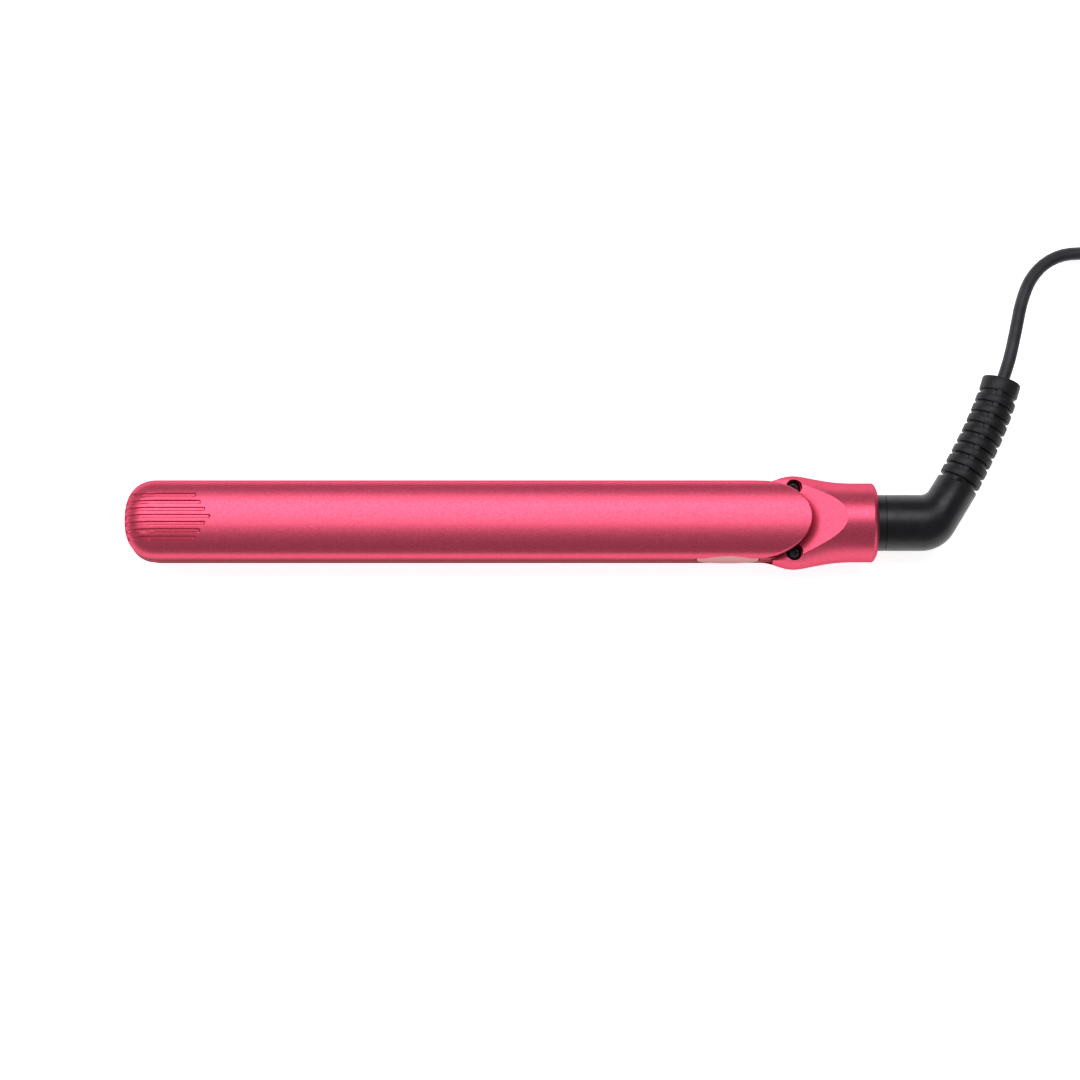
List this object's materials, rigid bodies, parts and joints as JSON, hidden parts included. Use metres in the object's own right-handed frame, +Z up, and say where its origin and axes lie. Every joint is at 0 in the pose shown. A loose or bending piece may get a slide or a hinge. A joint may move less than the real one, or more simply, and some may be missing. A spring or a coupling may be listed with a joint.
{
  "type": "hair straightener",
  "caption": "Closed hair straightener: two rounded arms with heating plates, grooved tip, side button, hinged round tail, swivelling ribbed cord outlet, coiled cord and plug.",
  "frame": {"origin": "middle of the body's length and width, on the surface that its belly rests on (the free cord and its outlet left out)", "axes": "+X from the tip to the tail, +Y to the side away from the button, +Z up through the closed arms"},
  "size_m": [0.4703, 0.1302, 0.0305],
  "materials": {
    "pink_shell": "satin pearl paint",
    "pink_inner": "satin pearl paint",
    "black_screw": "black oxide",
    "steel": "plain",
    "plate": "dark ceramic coating",
    "ceramic": "fired ceramic",
    "silicone": "matt silicone",
    "board": "solder mask",
    "black_plastic": "moulded satin",
    "black_rubber": "moulded matt",
    "wire": "plain",
    "brass": "bright",
    "button": "satin rose metal",
    "cord": "matt"
  },
  "bodies": {
    "lower_arm": {"lower_shell": "pink_shell", "lower_inner_cover": "pink_inner", "tail_cover": "pink_shell", "hinge_screws": "black_screw", "hinge_bracket": "steel", "hinge_pin": "steel", "hinge_spring": "steel", "lower_plate_pads": "silicone", "control_board": "board", "board_screws": "steel", "tact_switch": "black_plastic", "supply_wires": "wire", "lower_heater_wires": "wire", "lower_cover_screws": "steel"},
    "upper_arm": {"upper_shell": "pink_shell", "upper_inner_cover": "pink_inner", "hinge_lug": "black_plastic", "lug_screws": "steel", "hinge_bushes": "brass", "upper_plate_pads": "silicone", "upper_heater_wires": "wire", "upper_cover_screws": "steel"},
    "lower_plate_float": {"lower_plate": "plate", "lower_heater": "ceramic", "lower_heater_clip": "steel", "lower_thermal_fuse": "steel"},
    "upper_plate_float": {"upper_plate": "plate", "upper_heater": "ceramic", "upper_heater_clip": "steel", "upper_thermal_fuse": "steel"},
    "power_button": {"power_button": "button"},
    "cord_swivel": {"swivel_elbow": "black_plastic", "swivel_clip": "steel", "strain_relief": "black_rubber", "mains_cord": "cord", "cord_coil": "cord", "cord_tail": "cord", "cord_tie": "black_rubber", "plug_body": "black_plastic", "pin_sleeves": "black_plastic", "plug_pins": "brass"}
  },
  "joints": [
    {"name": "arm_hinge", "type": "hinge", "parent": "lower_arm", "child": "upper_arm", "pos_m": [0.1122, 0, 0.017], "axis": [0, 1, 0], "range_deg": [0, 12], "deforming": ["hinge_spring"]},
    {"name": "lower_plate_travel", "type": "slide", "parent": "lower_arm", "child": "lower_plate_float", "axis": [0, 0, -1], "range_m": [0, 0.0008], "stiffness_N_per_m": 4000, "deforming": ["lower_plate_pads"]},
    {"name": "upper_plate_travel", "type": "slide", "parent": "upper_arm", "child": "upper_plate_float", "axis": [0, 0, 1], "range_m": [0, 0.0008], "stiffness_N_per_m": 4000, "deforming": ["upper_plate_pads"]},
    {"name": "button_press", "type": "slide", "parent": "lower_arm", "child": "power_button", "axis": [0, 1, 0], "range_m": [0, 0.0008], "stiffness_N_per_m": 1500},
    {"name": "cord_turn", "type": "hinge", "parent": "lower_arm", "child": "cord_swivel", "pos_m": [0.14, 0, 0.01525], "axis": [1, 0, 0], "range_deg": [-170, 170]}
  ]
}
